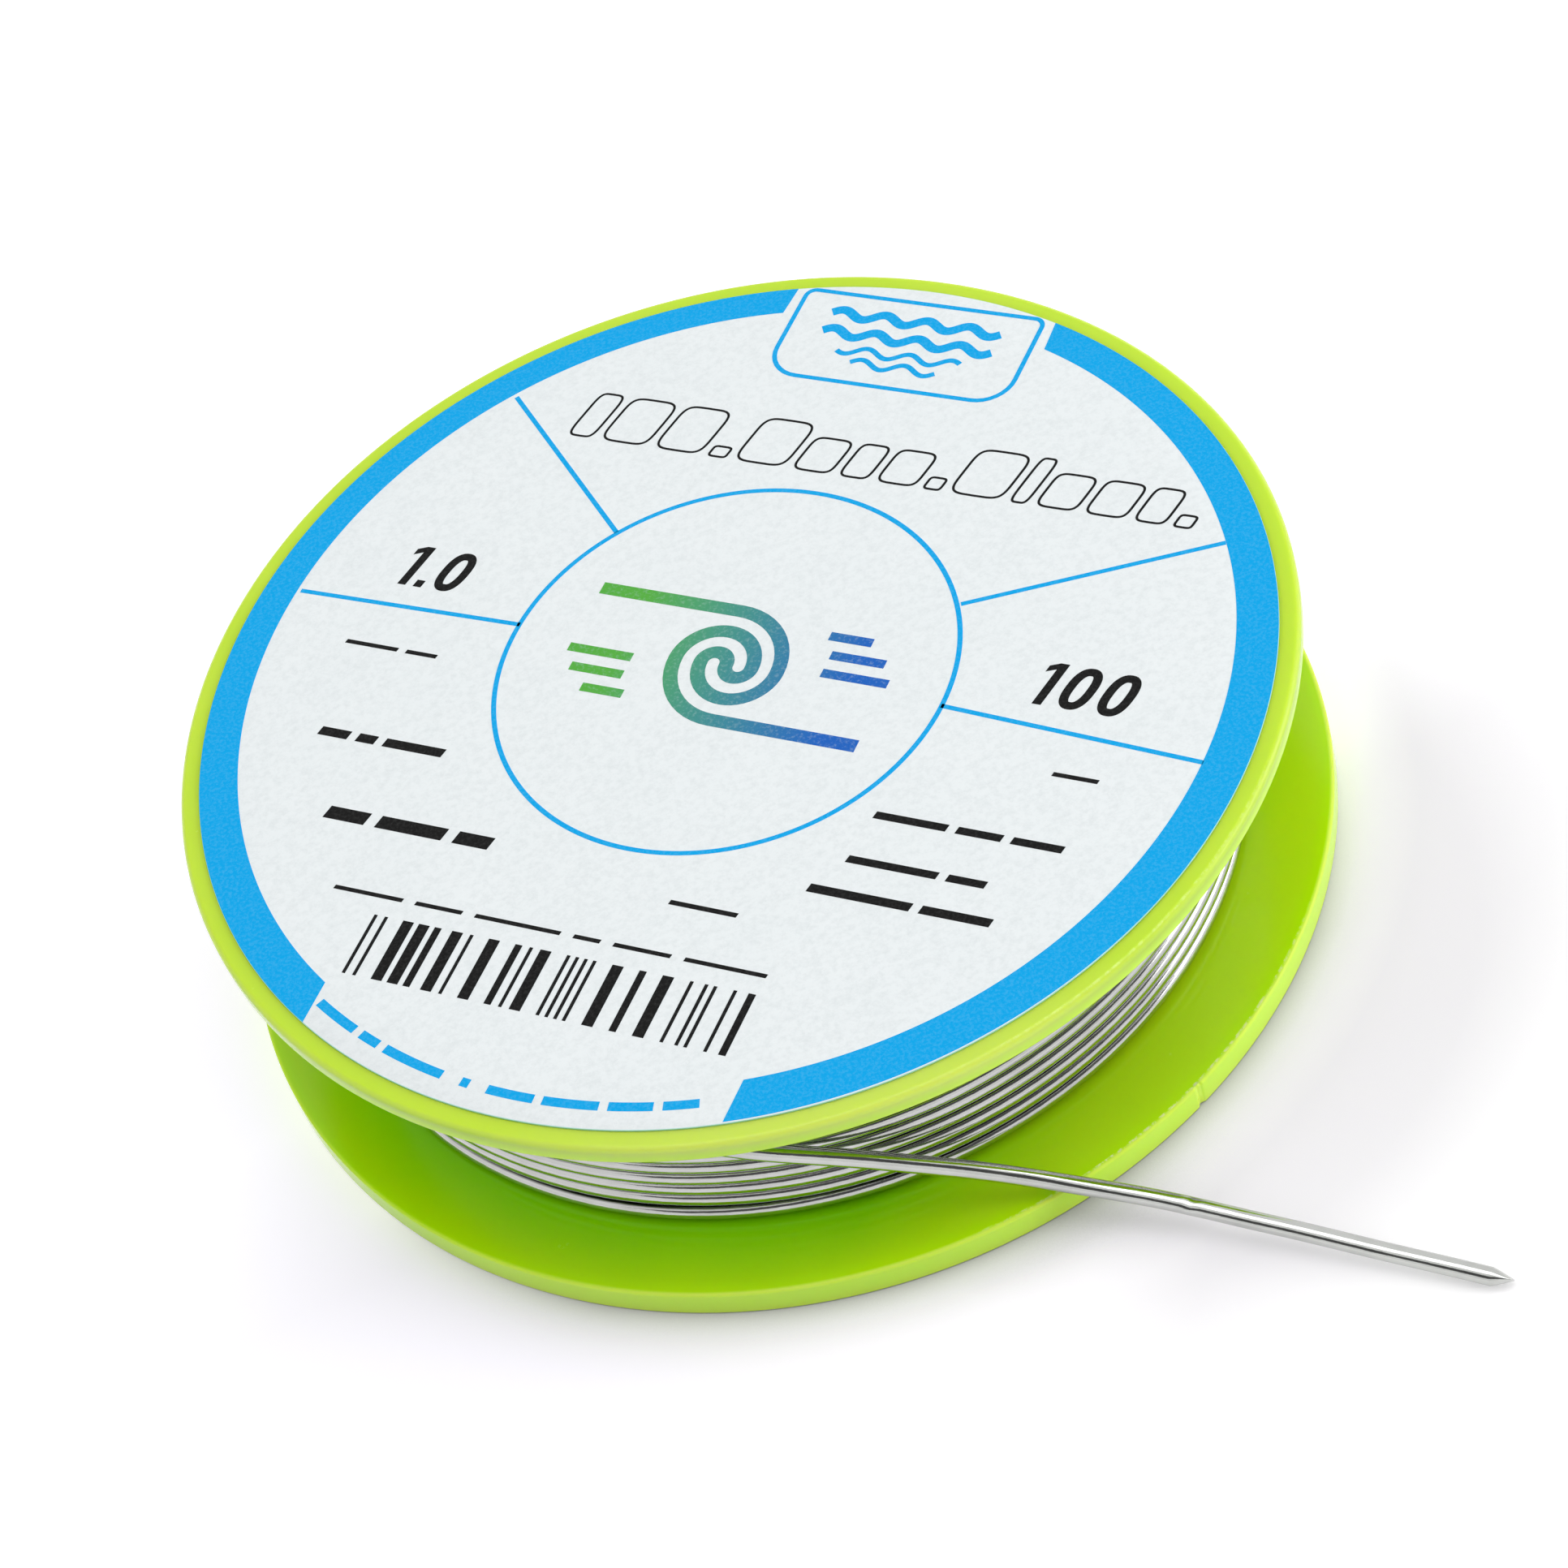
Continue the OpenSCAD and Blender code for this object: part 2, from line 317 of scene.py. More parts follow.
# Tones of the plastic between which its flow clouds vary: painted shade and bounce deep between the flanges,
# their yellower outer part, and a painted glow of leaking light at the pale edge of the lower and upper one
DEEP_SHADE_TONES = (0.26, 0.76, 0.0), (0.29, 0.78, 0.001)
YELLOW_TONES = (0.47, 0.80, 0.0), (0.50, 0.82, 0.001)
LEAK_GLOW_LOW_TONES = (0.52, 0.84, 0.0), (0.55, 0.86, 0.002)
LEAK_GLOW_HIGH_TONES = (0.54, 0.76, 0.035), (0.57, 0.78, 0.045)
# Radii at which the flanges' painted shade gives way to yellower green, and that to a painted glow towards
# their thin rims, and how far below the top the upper flange's painted glow starts and is full
YELLOW_FROM, YELLOW_TO = 26.8, 30.6
PALE_FROM, PALE_TO = 30.5, 31.2
TOP_FROM, TOP_FULL = 1.0, 0.4
# Radii between which a painted glow lies on the rounded corner, and where the upright wall of a rim starts,
# with the painted glow and sheen of each on the lower rim, and on the upper rim all round and in front
GLOW_FROM, GLOW_TO = 31.22, 31.36
WALL_FROM, WALL_TO = 31.41, 31.48
LOW_CORNER_LIGHT, HIGH_CORNER_LIGHTS = (0.68, 0.93, 0.11), ((0.56, 0.75, 0.09), (0.66, 0.80, 0.14))
LOW_WALL_LIGHT, HIGH_WALL_LIGHTS = (0.62, 0.93, 0.085), ((0.50, 0.70, 0.09), (0.66, 0.82, 0.16))
# The painted glow on the lower rim is strongest on its lit side: that side, and the least share elsewhere
GLOW_SIDE, GLOW_SHARE = (-62.0, 2.0, 18.0), 0.15
# Painted light makes the moulding yellower on its lit side, and a painted sheen the upper flange paler in front
PAINTED_LIGHT_SIDE, PAINTED_LIGHT_TONE = (-48.0, 18.0, 26.5), (0.56, 0.86, 0.008)
FRONT_SIDE, FRONT_SHEEN_TONE = (-97.0, 26.0, 30.5), (0.61, 0.78, 0.10)
# Painted glints that sparkle along the lower rim's upper edge: the radii of their line and how softly it ends,
# their side, their share on the lower and on the upper rim, and their tone
GLINTS_FROM, GLINTS_TO, GLINTS_SOFT = 31.18, 31.36, 0.04
GLINTS_SIDE = (-62.0, 28.0, 30.6)
GLINTS_LOW_SHARE, GLINTS_TOP_SHARE = 0.75, 0.2
GLINT_TONE = (0.93, 0.97, 0.62)
# Noise in the plastic, each as scale, detail and roughness, and the range of it that counts: the flow clouds,
# the painted glints' specks, the scuffs with the roughness that they bring, and the slight waves with their
# depth
CLOUD_NOISE, CLOUD_RANGE = (90, 2.0, 0.5), (0.35, 0.65)
GLINT_NOISE, GLINT_RANGE = (2800, 3.0, 0.7), (0.46, 0.62)
SCUFF_NOISE, SCUFF_RANGE, SCUFF_ROUGHNESS = (700, 4.0, 0.6), (0.50, 0.75), (0.16, 0.28)
WAVE_NOISE, WAVE_DEPTH = (110, 1.0, 0.5), 0.006


def plastic_material():
    """Lime green polystyrene, glossy and cloudy, with painted shade between flanges and painted light on rims.
    """
    tree = Tree("reel_plastic")
    place = tree.position()
    reach = tree.from_axis(place)
    height = tree.node("SeparateXYZ", {0: place}).outputs["Z"]
    clouds = tree.spread(tree.noise(place, *CLOUD_NOISE), *CLOUD_RANGE)
    deep_shade, yellow, leak_glow_low, leak_glow_high = (
        tree.blend(clouds, *tones) for tones in (DEEP_SHADE_TONES, YELLOW_TONES, LEAK_GLOW_LOW_TONES, LEAK_GLOW_HIGH_TONES))
    front = tree.side(place, *FRONT_SIDE)
    side = tree.side(place, *GLOW_SIDE, GLOW_SHARE)
    top = tree.ramp(height, REEL_TOP - TOP_FROM, REEL_TOP - TOP_FULL)
    # Painted shade deep between the flanges, painted light on the lit side and painted glow at the edges
    flat = tree.blend(tree.ramp(reach, YELLOW_FROM, YELLOW_TO), deep_shade, yellow)
    inside = tree.blend(tree.side(place, *PAINTED_LIGHT_SIDE), flat, PAINTED_LIGHT_TONE)
    edge = tree.combine("MAXIMUM", tree.times(side, tree.ramp(reach, PALE_FROM, PALE_TO)), top)
    body = tree.blend(edge, inside, tree.blend(top, leak_glow_low, tree.blend(front, leak_glow_high, FRONT_SHEEN_TONE)))
    # Painted glow and sheen on the rounded corners and upright walls of the rims
    lit = tree.combine("MAXIMUM", side, top)
    for starts, full, low_light, high_lights in ((GLOW_FROM, GLOW_TO, LOW_CORNER_LIGHT, HIGH_CORNER_LIGHTS),
                                               (WALL_FROM, WALL_TO, LOW_WALL_LIGHT, HIGH_WALL_LIGHTS)):
        tone = tree.blend(top, low_light, tree.blend(front, *high_lights))
        body = tree.blend(tree.times(lit, tree.ramp(reach, starts, full)), body, tone)
    # Painted glints along the lower rim's upper edge
    line = tree.times(tree.ramp(reach, GLINTS_FROM, GLINTS_FROM + GLINTS_SOFT),
                      tree.ramp(reach, GLINTS_TO - GLINTS_SOFT, GLINTS_TO, 1.0, 0.0))
    glint_specks = tree.spread(tree.noise(place, *GLINT_NOISE), *GLINT_RANGE)
    fewer = tree.spread(top, 0.0, 1.0, GLINTS_LOW_SHARE, GLINTS_TOP_SHARE)
    glints = tree.times(tree.times(line, tree.side(place, *GLINTS_SIDE)), tree.times(glint_specks, fewer))
    return tree.fill({
        "Base Color": tree.blend(glints, body, GLINT_TONE),
        "Roughness": tree.spread(tree.noise(place, *SCUFF_NOISE), *SCUFF_RANGE, *SCUFF_ROUGHNESS),
        "IOR": 1.58,
        "Specular IOR Level": 0.22,
        "Subsurface Weight": 0.9,
        "Subsurface Radius": (1.0, 1.0, 0.2),
        "Subsurface Scale": 0.8 * MM,
        "Normal": tree.bump(tree.noise(place, *WAVE_NOISE), WAVE_DEPTH),
    })


PAPER_TONES = (0.815, 0.860, 0.872), (0.845, 0.885, 0.895)
PAPER_CLOUD_NOISE = (300, 3.0, 0.5)
# The paper's grain: its noise and the range of it that counts, its depth, its tone and how much of that shows
GRAIN_NOISE, GRAIN_RANGE = (2600, 3.0, 0.7), (0.42, 0.70)
GRAIN_DEPTH = 0.006
GRAIN_TONE, GRAIN_SHARE = (0.60, 0.65, 0.66), 0.30
# The cut edge of the paper: its tone, and how far from it that starts and is full
CUT_TONE = (0.45, 0.78, 0.72)
CUT_FROM, CUT_FULL = 0.05, 0.02


def paper_material():
    """Coated white label paper with a fine grey grain and a coloured cut edge."""
    tree = Tree("label_paper")
    place = tree.position()
    grain = tree.spread(tree.noise(place, *GRAIN_NOISE), *GRAIN_RANGE)
    pale = tree.blend(tree.noise(place, *PAPER_CLOUD_NOISE), *PAPER_TONES)
    colour = tree.blend(tree.spread(grain, 0.0, 1.0, 0.0, GRAIN_SHARE), pale, GRAIN_TONE)
    cut = tree.ramp(tree.from_axis(place), LABEL_R - CUT_FROM, LABEL_R - CUT_FULL)
    return tree.fill({
        "Base Color": tree.blend(cut, colour, CUT_TONE),
        "Roughness": 0.48,
        "Specular IOR Level": 0.35,
        "Normal": tree.bump(grain, GRAIN_DEPTH),
    })


# Ink's grain: its noise, the range of it that counts, and the least and most of it that shows
INK_NOISE, INK_RANGE = (5200, 3.0, 0.7), (0.44, 0.72, 0.0, 0.42)
MOTIF_NOISE, MOTIF_RANGE = (4200, 2.0, 0.7), (0.50, 0.72, 0.0, 0.25)
MOTIF_SPECK = (0.45, 0.60, 0.60)
# The motif's ink at its left and right, and half the way between them
MOTIF_TONES = (0.10, 0.42, 0.06), (0.02, 0.13, 0.52)
MOTIF_HALF = 7.0


def fill_ink(tree, colour, speck, noise, shows):
    """Printing ink that lets a little of the paper's grain through."""
    grain = tree.spread(tree.noise(tree.position(), *noise), *shows)
    return tree.fill({
        "Base Color": tree.blend(grain, colour, speck),
        "Roughness": 0.5,
        "Specular IOR Level": 0.06,
    })


def ink_material(name, colour, speck):
    return fill_ink(Tree(name), colour, speck, INK_NOISE, INK_RANGE)


def motif_material():
    """Ink that runs from green to blue across the label."""
    tree = Tree("label_motif_ink")
    across = tree.ramp(tree.towards(tree.position(), LABEL_BEARING), -MOTIF_HALF, MOTIF_HALF)
    return fill_ink(tree, tree.blend(across, *MOTIF_TONES), MOTIF_SPECK, MOTIF_NOISE, MOTIF_RANGE)


# Sine of the angle round the wire at which the painted shade of the crevice between two turns starts, and is
# full: above and below
CREVICES = ((0.80, 0.92), (-0.42, -0.62))
CREVICE_SHADE = (0.025, 0.028, 0.02)
# The crevices' painted shade is darkest in front and dark again at the left end: the bearing of each, the
# cosines off it at which that starts and is full, and the share of it before and there
CREVICE_SHADE_SIDES = ((-76.0, 0.90, 0.985, 0.45, 1.0), (-138.0, 0.90, 0.975, 0.0, 0.85))
# Streaks of the drawing: how far they are drawn out, their noise, the range of it that counts and their depth
STREAK_SCALE = (1.0, 0.06, 1.0)
STREAK_NOISE, STREAK_RANGE = (14.0, 3.0, 0.6), (0.3, 0.7)
STREAK_DEPTH = 0.004
TARNISH_NOISE, TARNISH_RANGE = (500, 3.0, 0.5), (0.4, 0.7)


def solder_material(name, bright, tarnished, smooth, rough, wound):
    """Drawn tin solder: bright, with fine streaks along the wire, some tarnish, painted shade where turns
    touch.
    """
    tree = Tree(name)
    place = tree.position()
    along = tree.node("UVMap", uv_map="wire").outputs["UV"]
    drawn = tree.node("Mapping", {"Vector": along, "Scale": STREAK_SCALE}).outputs["Vector"]
    streaks = tree.noise(drawn, *STREAK_NOISE)
    colour = tree.blend(tree.spread(tree.noise(place, *TARNISH_NOISE), *TARNISH_RANGE), bright, tarnished)
    # Painted shade in the crevices where the wound turns touch
    if wound:
        around = tree.node("SeparateXYZ", {0: along}).outputs["X"]
        sine = tree.combine("SINE", tree.times(around, 2 * math.pi))
        share = tree.combine("MAXIMUM", *(
            tree.spread(tree.towards(place, bearing), TURN_R * MM * starts, TURN_R * MM * full, before, there)
            for bearing, starts, full, before, there in CREVICE_SHADE_SIDES))
        for starts, full in CREVICES:
            colour = tree.blend(tree.times(tree.spread(sine, starts, full), share), colour, CREVICE_SHADE)
    return tree.fill({
        "Base Color": colour,
        "Metallic": 1.0,
        "Roughness": tree.spread(streaks, *STREAK_RANGE, smooth, rough),
        "Normal": tree.bump(streaks, STREAK_DEPTH),
    })


# ---------------- mesh helpers


def add_piece(name, vertices, faces, material, smooth=True):
    """A mesh object from points in millimetres."""
    mesh = bpy.data.meshes.new(name)
    mesh.from_pydata([tuple(MM * c for c in v) for v in vertices], [], faces)
    mesh.materials.append(material)
    mesh.validate()
    mesh.shade_smooth() if smooth else mesh.shade_flat()
    return add_object(name, mesh)


def bands(pairs, n, base=0):
    """Quads between two rings of n points each, for every pair of rings."""
    return [(base + i * n + k, base + i * n + (k + 1) % n, base + j * n + (k + 1) % n, base + j * n + k)
            for i, j in pairs for k in range(n)]


def polar(bearing, radius, z):
    a = math.radians(bearing)
    return Vector((radius * math.cos(a), radius * math.sin(a), z))


def ease(x):
    x = min(max(x, 0.0), 1.0)
    return x * x * (3 - 2 * x)


def smooth_path(points, steps):
    """Cubic B-spline along points, from the first to the last, with a number of steps between each two."""
    ends = [2 * points[0] - points[1], *points, 2 * points[-1] - points[-2]]
    path = []
    for a, b, c, d in zip(ends, ends[1:], ends[2:], ends[3:]):
        for i in range(steps):
            t = i / steps
            path.append((a * (1 - t) ** 3 + b * (3 * t ** 3 - 6 * t ** 2 + 4)
                         + c * (-3 * t ** 3 + 3 * t ** 2 + 3 * t + 1) + d * t ** 3) / 6)
    return path + [points[-1]]


def wire_tube(name, path, sides, material, section):
    """A closed tube along a path. section(i, x, y) shapes ring i, whose points come in wire radii."""
    vertices, faces, run = [], [], [0.0]
    last = len(path) - 1
    for i, centre in enumerate(path):
        heading = (path[min(i + 1, last)] - path[max(i - 1, 0)]).normalized()
        side = heading.cross(Vector((0, 0, 1))).normalized()
        rise = side.cross(heading)
        if i > 0:
            run.append(run[-1] + (centre - path[i - 1]).length)
        for k in range(sides):
            a = 2 * math.pi * k / sides
            x, y = section(i, math.cos(a), math.sin(a))
            vertices.append(centre + WIRE_R * (x * side + y * rise))
    for i in range(last):
        for k in range(sides):
            a, b = i * sides + k, i * sides + (k + 1) % sides
            faces.append((a, a + sides, b + sides, b))
    faces.append(tuple(range(sides)))
    faces.append(tuple(reversed(range(last * sides, (last + 1) * sides))))
    piece = add_piece(name, vertices, faces, material)
    uv = piece.data.uv_layers.new(name="wire")
    for polygon in piece.data.polygons:
        ring = [piece.data.loops[l].vertex_index for l in polygon.loop_indices]
        wraps = any(v % sides == 0 for v in ring) and any(v % sides == sides - 1 for v in ring)
        for l in polygon.loop_indices:
            i, k = divmod(piece.data.loops[l].vertex_index, sides)
            around = 1.0 if wraps and k == 0 else k / sides
            uv.data[l].uv = (around, run[i])
    return piece


# ---------------- free end of the wire

# The cut tip: the bevel's length, its edge's thickness and turn, how it tapers and how much narrower it gets
TIP_BEVEL = 1.1
TIP_EDGE = 0.12
TIP_ANGLE = 30.0
TIP_TAPER, TIP_NARROWER = 1.15, 0.10
FREE_SIDES = 32
FREE_STEPS = 6
TIP_RINGS = 6
# A flattened spot in the free wire: its place, half its length, and how much flatter and wider it is there
KINK_PLACE = Vector((12.4, -34.5, 1.75))
KINK_HALF = 0.6
KINK_FLATTER, KINK_WIDER = 0.07, 0.04
KINK_RINGS = 16


def free_end_points():
    """The part's own route of the free end, up to where the tip's bevel starts."""
    heading = polar(RUNOUT_BEARING + 90, 1, 0)
    start = polar(RUNOUT_BEARING, TURN_R, LAST_TURN_Z) + WIRE_D * heading
    runout = [polar(RUNOUT_BEARING + b, TURN_R + r, z) for b, r, z in RUNOUT_ROUTE]
    free = [Vector(p) for p in FREE_ROUTE[:-1]]
    tip = Vector(FREE_TIP)
    tip_heading = (tip - Vector(FREE_ROUTE[-1])).normalized()
    return [start, *runout, *free, tip - TIP_BEVEL * tip_heading, tip]


def add_free_end(material):
    points = free_end_points()
    path = smooth_path(points[:-1], FREE_STEPS)
    near = min(range(len(path)), key=lambda i: (path[i] - KINK_PLACE).length)
    fine = [path[near - 2].lerp(path[near + 2], i / KINK_RINGS) for i in range(1, KINK_RINGS)]
    path = path[:near - 1] + fine + path[near + 2:]
    shoulder, tip = points[-2], points[-1]
    first_tip_ring = len(path)
    path += [shoulder.lerp(tip, (i + 1) / TIP_RINGS) for i in range(TIP_RINGS)]
    angle = math.radians(TIP_ANGLE)

    def section(i, x, y):
        done = max(0.0, (i - first_tip_ring + 1) / TIP_RINGS)
        if done == 0:
            press = ease(1 - (path[i] - KINK_PLACE).length / KINK_HALF)
            return x * (1 + KINK_WIDER * press), y * (1 - KINK_FLATTER * press)
        across = x * math.cos(angle) - y * math.sin(angle)
        along = x * math.sin(angle) + y * math.cos(angle)
        across *= 1 - (1 - TIP_EDGE / WIRE_D) * done ** TIP_TAPER
        along *= 1 - TIP_NARROWER * done
        return (across * math.cos(angle) + along * math.sin(angle),
                along * math.cos(angle) - across * math.sin(angle))

    piece = wire_tube("free_wire", path, FREE_SIDES, material, section)
    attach(piece, BODY)
    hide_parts("solder_free_end")


# ---------------- reel

# The reel's own sizes, as the part's source has them
FLANGE_R = min(REEL_HIGH.x, -REEL_LOW.x)
LOWER_FLANGE_T, UPPER_FLANGE_T = 1.7, 1.3
UPPER_RIM_ROUND, LOWER_RIM_ROUND = 0.35, 0.14
BARREL_R, BARREL_BORE_R, BARREL_FILLET = 16.5, 15.0, 0.5
HUB_R, BORE_R, BORE_CHAMFER = 7.1, 5.5, 0.5
RIB_COUNT, RIB_T, RIB_INSET = 4, 1.2, 1.0
# The hole that holds the wire's start, in the lower flange
START_PLACE = Vector((0.0, 17.8, 0.0))
START_SIDES = 24
HOLE_R = 0.8
HUB_EDGE = 0.12
ROUND_STEPS = 8
LATHE_STEPS = 288
SUPPORT = 0.06
SHARP_ANGLE = 32.0
# Gate mark in the lower rim: its bearing, half its width, and how deep its chip above and its bite below are,
# with the share of the rim's height where the chip starts and the bite ends, and over which each deepens
GATE_BEARING = -60.7
GATE_HALF = 0.32
GATE_CHIP, GATE_BITE = 0.12, 0.12
CHIP_FROM, CHIP_OVER = 0.80, 0.15
BITE_TO, BITE_OVER = 0.24, 0.08
GATE_STEPS = 28


def arc(centre_r, centre_z, radius, start, end, steps=ROUND_STEPS):
    """Points of a profile's corner, with one more just before and after it to keep the flats flat."""
    points = []
    for i in range(steps + 1):
        a = math.radians(start + (end - start) * i / steps)
        points.append((centre_r + radius * math.cos(a), centre_z + radius * math.sin(a)))
    turn = math.copysign(SUPPORT, end - start)
    first, last = math.radians(start), math.radians(end)
    before = (points[0][0] + turn * math.sin(first), points[0][1] - turn * math.cos(first))
    after = (points[-1][0] - turn * math.sin(last), points[-1][1] + turn * math.cos(last))
    return [before, *points, after]


def rim_profile(low, high, radius):
    """Both corners of a flange's rim, from below to above."""
    inner = FLANGE_R - radius
    return arc(inner, low + radius, radius, -90, 0) + arc(inner, high - radius, radius, 0, 90)


def reel_profile():
    """The reel's cross-section, once round: out under the lower flange, up outside, down through the bore."""
    gap_low, gap_high = LOWER_FLANGE_T, REEL_TOP - UPPER_FLANGE_T
    fillet_r = BARREL_R + BARREL_FILLET
    edge = HUB_EDGE
    return [
        *arc(BARREL_BORE_R + edge, edge, edge, 180, 270, 3),
        *rim_profile(0.0, gap_low, LOWER_RIM_ROUND),
        *arc(fillet_r, gap_low + BARREL_FILLET, BARREL_FILLET, -90, -180),
        *arc(fillet_r, gap_high - BARREL_FILLET, BARREL_FILLET, 180, 90),
        *rim_profile(gap_high, REEL_TOP, UPPER_RIM_ROUND),
        (BORE_R + SUPPORT, REEL_TOP),
        (BORE_R, REEL_TOP),
        (BORE_R, BORE_CHAMFER),
        (BORE_R + BORE_CHAMFER, 0.0),
        *arc(HUB_R - edge, edge, edge, -90, 0, 3),
        *arc(HUB_R + edge, gap_high - edge, edge, 180, 90, 3),
        *arc(BARREL_BORE_R - edge, gap_high - edge, edge, 90, 0, 3),
    ]


def gate_relief(along, radius, z):
    """How far inwards the gate mark takes a point of the lower rim, by its distance from the middle."""
    if radius < FLANGE_R - LOWER_RIM_ROUND - SUPPORT or z > LOWER_FLANGE_T or abs(along) > GATE_HALF:
        return 0.0
    up = z / LOWER_FLANGE_T
    bell = ease(1.6 * (1 - abs(along) / GATE_HALF))
    ragged = 0.3 + 0.7 * abs(math.sin(math.pi * along / GATE_HALF))
    chip = GATE_CHIP * ease((up - CHIP_FROM) / CHIP_OVER) * ragged
    bite = GATE_BITE * ease((BITE_TO - up) / BITE_OVER) * ease((GATE_HALF - along) / GATE_HALF / 1.2)
    return bell * (chip + bite)


def add_reel(material):
    """One moulding: two flanges, the barrel and the ribbed hub, with the gate mark and the start hole."""
    spacing = 360 / LATHE_STEPS
    reach = math.degrees(GATE_HALF / FLANGE_R) * 1.2
    bearings = [k * spacing for k in range(LATHE_STEPS)]
    bearings = [b for b in bearings if abs((b - GATE_BEARING + 180) % 360 - 180) > reach]
    bearings += [(GATE_BEARING + reach * (2 * i / GATE_STEPS - 1)) % 360 for i in range(GATE_STEPS + 1)]
    bearings.sort()
    profile = reel_profile()
    n, rows = len(bearings), len(profile)
    vertices = []
    for radius, z in profile:
        for bearing in bearings:
            along = math.radians((bearing - GATE_BEARING + 180) % 360 - 180) * FLANGE_R
            vertices.append(polar(bearing, radius - gate_relief(along, radius, z), max(z, 0.0)))
    faces = bands([(i, (i + 1) % rows) for i in range(rows)], n)
    piece = add_piece("reel_moulding", vertices, faces, material)
    cut_hole(piece)
    add_ribs(piece)
    piece.data.set_sharp_from_angle(angle=math.radians(SHARP_ANGLE))
    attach(piece, BODY)
    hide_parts("reel")


def add_ribs(piece):
    """Add the ribs between hub and barrel, each a closed box sunk a little into both, to the reel's mesh."""
    vertices, faces = [], []
    gap_high = REEL_TOP - UPPER_FLANGE_T
    inner, outer = HUB_R - HUB_EDGE, BARREL_BORE_R + HUB_EDGE
    for i in range(RIB_COUNT):
        along, across = (polar(turn + 360 * i / RIB_COUNT, 1, 0) for turn in (45, 135))
        base = len(vertices)
        for z in (RIB_INSET, gap_high + HUB_EDGE):
            for radius, side in ((inner, -1), (outer, -1), (outer, 1), (inner, 1)):
                vertices.append(radius * along + side * RIB_T / 2 * across + Vector((0, 0, z)))
        faces += [(base + 3, base + 2, base + 1, base), (base + 4, base + 5, base + 6, base + 7)]
        faces += bands([(0, 1)], 4, base)
    ribs = add_piece("reel_ribs", vertices, faces, piece.data.materials[0])
    both = bmesh.new()
    both.from_mesh(piece.data)
    both.from_mesh(ribs.data)
    both.to_mesh(piece.data)
    both.free()
    bpy.data.objects.remove(ribs)


def cut_hole(piece):
    """Cut the hole for the wire's start through the lower flange, and apply it to the mesh."""
    sides = START_SIDES
    points = [START_PLACE + polar(360 * (k + 0.5) / sides, HOLE_R, z)
              for z in (-1.0, LOWER_FLANGE_T + 1.0) for k in range(sides)]
    caps = [tuple(reversed(range(sides))), tuple(range(sides, 2 * sides))]
    cutter = add_piece("hole_cutter", points, bands([(0, 1)], sides) + caps, piece.data.materials[0])
    cut = piece.modifiers.new("hole", "BOOLEAN")
    cut.operation = "DIFFERENCE"
    cut.solver = "EXACT"
    cut.object = cutter
    depsgraph = bpy.context.evaluated_depsgraph_get()
    mesh = bpy.data.meshes.new_from_object(piece.evaluated_get(depsgraph))
    piece.modifiers.clear()
    piece.data = mesh
    bpy.data.objects.remove(cutter)


# ---------------- winding

# Turns of the outer layer, of the one below and of the climb between them; how thick the wound wire is for
# its gauge, and how much further out the outer layer lies
OUTER_TURNS = 11
UNDER_TURNS = 10.5
CLIMB_TURNS = 0.18
WOUND_SCALE = 0.965
LAYER_RISE = 0.87
TURN_STEPS = 150
WOUND_SIDES = 14
# The outer layer is looser on one side and sways all round, apart from its end
BULGE, BULGE_BEARING = 0.14, -140.0
SWAY, SWAYS_PER_TURN, SWAY_KNOTS = 0.10, 7, 220
CALM_LAST, CALM_OVER = 1.3, 1.2
# Its lower turns lie higher round one bearing, from the first turns on
LENS_LIFT, LENS_BEARING, LENS_WIDTH = 0.24, -124.0, 26.0
LENS_FROM, LENS_OVER = 0.45, 0.35
# The layers below, as one body with a ridge for each turn, and one more
CORE_TURNS = 11
CORE_TURN_R = 24.56
CORE_INNER_R = 16.55
CORE_LOW, CORE_HIGH = 1.75, 13.75
CORE_SEGMENTS = 120
START_LOW, START_BEVEL = 0.2, 0.1


def waver(rng, count):
    """Smooth offsets from random ones, blended between."""
    knots = [rng.uniform(-1.0, 1.0) for _ in range(count)]

    def at(x):
        i = min(int(x), count - 2)
        return knots[i] + (knots[i + 1] - knots[i]) * ease(x - i)

    return at


def winding_path():
    """One wire: down the layer below, a climb by the lower flange, and up the outer layer to its run-out."""
    rng = random.Random(7)
    sway = waver(rng, SWAY_KNOTS)
    pitch = (LAST_TURN_Z - FIRST_TURN_Z) / OUTER_TURNS
    path = []
    total = UNDER_TURNS + OUTER_TURNS
    steps = round(total * TURN_STEPS)
    for i in range(steps + 1):
        turned = i / TURN_STEPS - UNDER_TURNS
        bearing = RUNOUT_BEARING + 360 * (turned - OUTER_TURNS)
        outer = ease(turned / CLIMB_TURNS + 1)
        calm = ease((OUTER_TURNS - CALM_LAST - turned) / CALM_OVER) * outer
        bulge = BULGE * (1 + math.cos(math.radians(bearing - BULGE_BEARING))) / 2
        loose = SWAY * (1 + sway((turned + UNDER_TURNS) * SWAYS_PER_TURN)) / 2
        radius = TURN_R - LAYER_RISE * (1 - outer) + calm * (bulge + loose)
        off = (bearing - LENS_BEARING + 180) % 360 - 180
        lens = LENS_LIFT * math.exp(-(off / LENS_WIDTH) ** 2) * ease((turned - LENS_FROM) / LENS_OVER)
        z_outer = FIRST_TURN_Z + pitch * max(turned, 0) + lens * max(0.0, 1 - turned / OUTER_TURNS) * calm
        z_under = FIRST_TURN_Z + pitch * (0.5 + max(-turned, 0))
        z = z_under + (z_outer - z_under) * outer
        path.append(polar(bearing, radius, z))
    heading = polar(RUNOUT_BEARING + 90, 1, 0)
    path.append(path[-1] + WIRE_D * heading)
    return path


def add_winding(material):
    def section(i, x, y):
        return WOUND_SCALE * x, WOUND_SCALE * y

    piece = wire_tube("wound_wire", winding_path(), WOUND_SIDES, material, section)
    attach(piece, BODY)
    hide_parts("solder_outer_layer")


